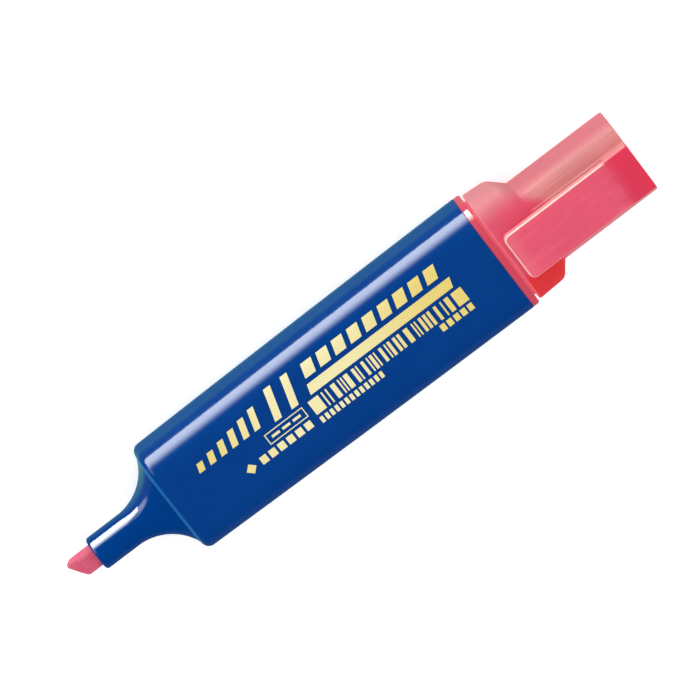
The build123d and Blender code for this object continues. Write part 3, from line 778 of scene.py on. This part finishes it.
# Angles in degrees, the distance in metres, the lens and the sensor in camera millimetres.
CAMERA_AZIMUTH = 176.0
CAMERA_ELEVATION = 68.5
CAMERA_ROLL = 146.52
CAMERA_DISTANCE = 2.0
CAMERA_LENS = 497.6
CAMERA_SENSOR = 36
AIM_RIGHT = -0.45 * MM
AIM_UP = 2.93 * MM


def make_floor():
    """A wide pale sheet just under the pen, glowing a little so that it stays nearly white."""
    bpy.ops.mesh.primitive_plane_add(size=FLOOR_SIZE, location=(0, 0, -FLOOR_DROP))
    floor = bpy.context.object
    floor.name = "floor"
    nodes = MaterialNodes("floor_paper")
    tone = nodes.mix(nodes.noise(scale=40, detail=4), *FLOOR_GREYS)
    nodes.finish_with(Base_Color=tone, Roughness=0.9, Specular_IOR_Level=0.0,
                      Emission_Color=WHITE, Emission_Strength=FLOOR_GLOW)
    floor.data.materials.append(nodes.material)
    floor.visible_glossy = False
    floor.visible_shadow = False
    floor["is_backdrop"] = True


def reflected_surroundings(nodes):
    """A dim glow low down, a tinted table straight below, and a soft lamp toward the nose."""
    height = nodes.axes()["Z"]
    surroundings = nodes.ramp(height, [(0.0, LOW_GLOW), (LOW_GLOW_TOP, BLACK)])
    below = nodes.span(height, TABLE_ALL, TABLE_NONE, to_low=1.0, to_high=0.0, curve="LINEAR")
    surroundings = nodes.mix(below, surroundings, TABLE_TINT)
    toward_lamp = nodes.add("ShaderNodeVectorMath", operation="DOT_PRODUCT")
    nodes.link(nodes.place, toward_lamp.inputs[0])
    toward_lamp.inputs[1].default_value = NOSE_LAMP_DIRECTION
    lamp = nodes.span(toward_lamp.outputs["Value"], NOSE_LAMP_EDGE, 1.0,
                      to_low=0.0, to_high=NOSE_LAMP_STRENGTH)
    return nodes.mix(1.0, surroundings, lamp, blend="ADD")


def make_world():
    """White light all round, for every ray but a reflected one."""
    world = bpy.data.worlds.new("studio")
    bpy.context.scene.world = world
    world.use_nodes = True
    world.cycles.sampling_method = "NONE"
    nodes = Nodes(world.node_tree, "Generated")
    plain = nodes.tree.nodes["Background"]
    plain.inputs["Color"].default_value = WHITE
    plain.inputs["Strength"].default_value = WORLD_STRENGTH
    reflected = nodes.add("ShaderNodeBackground")
    nodes.link(reflected_surroundings(nodes), reflected.inputs["Color"])
    ray = nodes.add("ShaderNodeLightPath")
    light = nodes.mix_shaders(ray.outputs["Is Glossy Ray"], plain.outputs[0], reflected.outputs[0])
    nodes.link(light, nodes.tree.nodes["World Output"].inputs["Surface"])


def soft_box(name, place, aim, width, height, power):
    """A rectangular area light aimed at a point, not seen in reflections."""
    data = bpy.data.lights.new(name, "AREA")
    data.shape = "RECTANGLE"
    data.size = width
    data.size_y = height
    data.energy = power
    light = bpy.data.objects.new(name, data)
    bpy.context.scene.collection.objects.link(light)
    light.location = place
    light.rotation_mode = "QUATERNION"
    light.rotation_quaternion = (Vector(aim) - Vector(place)).to_track_quat("-Z", "Y")
    light.visible_glossy = False
    light.visible_camera = False


def curved_strip(name, distance, low_angle, high_angle, width):
    """A strip bent round the pen's axis on the +Y side, between two angles in degrees."""
    corners, faces = [], []
    for step in range(SCREEN_STEPS + 1):
        angle = math.radians(low_angle + (high_angle - low_angle) * step / SCREEN_STEPS)
        y = distance * math.cos(angle)
        z = AXIS_HEIGHT + distance * math.sin(angle)
        corners += [(-width / 2, y, z), (width / 2, y, z)]
        if step:
            last = len(corners) - 1
            faces.append((last - 3, last - 2, last, last - 1))
    mesh = bpy.data.meshes.new(name)
    mesh.from_pydata(corners, [], faces)
    strip = bpy.data.objects.new(name, mesh)
    bpy.context.scene.collection.objects.link(strip)
    return strip


def reflected_screen(name, distance, low_angle, full_angle, high_angle, width, strength):
    """A glowing curved screen seen only in reflections, fading from its full angle to its top."""
    screen = curved_strip(name, distance, low_angle, high_angle, width)
    nodes = MaterialNodes(name + "_glow")
    place = nodes.axes()
    rise = nodes.math("ARCTAN2", nodes.math("SUBTRACT", place["Z"], AXIS_HEIGHT), place["Y"])
    glow = nodes.span(rise, math.radians(full_angle), math.radians(high_angle),
                      to_low=strength, to_high=0.0)
    lamp = nodes.add("ShaderNodeEmission")
    lamp.inputs["Color"].default_value = SCREEN_COLOUR
    nodes.link(glow, lamp.inputs["Strength"])
    nodes.link(lamp.outputs[0], nodes.output.inputs["Surface"])
    screen.data.materials.append(nodes.material)
    screen.visible_camera = False
    screen.visible_diffuse = False
    screen.visible_transmission = False
    screen.visible_shadow = False
    screen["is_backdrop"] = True


def make_lights():
    middle = (0, 0, AXIS_HEIGHT)
    soft_box("key", place=(-0.1, 0.7, 0.5), aim=middle, width=0.9, height=0.5, power=2.6)
    soft_box("top_fill", place=(-0.1, -0.2, 0.9), aim=middle, width=0.9, height=0.9, power=0.8)
    reflected_screen("side_screen", distance=0.8, low_angle=-12, full_angle=8, high_angle=44,
                     width=1.5, strength=15.5)


def make_camera():
    """A long lens above the pen's +Y side, rolled so that the pen climbs to the upper right."""
    low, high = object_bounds()
    azimuth = math.radians(CAMERA_AZIMUTH)
    elevation = math.radians(CAMERA_ELEVATION)
    back = Vector((math.sin(azimuth) * math.cos(elevation),
                   -math.cos(azimuth) * math.cos(elevation), math.sin(elevation)))
    level_right = Vector((0, 0, 1)).cross(back).normalized()
    level_up = back.cross(level_right)
    roll = math.radians(CAMERA_ROLL)
    right = math.cos(roll) * level_right + math.sin(roll) * level_up
    up = -math.sin(roll) * level_right + math.cos(roll) * level_up
    target = (low + high) / 2 + right * AIM_RIGHT + up * AIM_UP
    data = bpy.data.cameras.new("camera")
    data.lens = CAMERA_LENS
    data.sensor_width = CAMERA_SENSOR
    data.clip_start = 0.01
    data.clip_end = 20
    camera = bpy.data.objects.new("camera", data)
    bpy.context.scene.collection.objects.link(camera)
    camera.location = target + back * CAMERA_DISTANCE
    camera.rotation_mode = "QUATERNION"
    camera.rotation_quaternion = Matrix((right, up, back)).transposed().to_quaternion()
    bpy.context.scene.camera = camera


paint_cad_nodes()
make_print()
make_floor()
make_world()
make_lights()
make_camera()
bpy.context.scene.view_settings.view_transform = "Standard"
bpy.context.scene.cycles.use_denoising = True
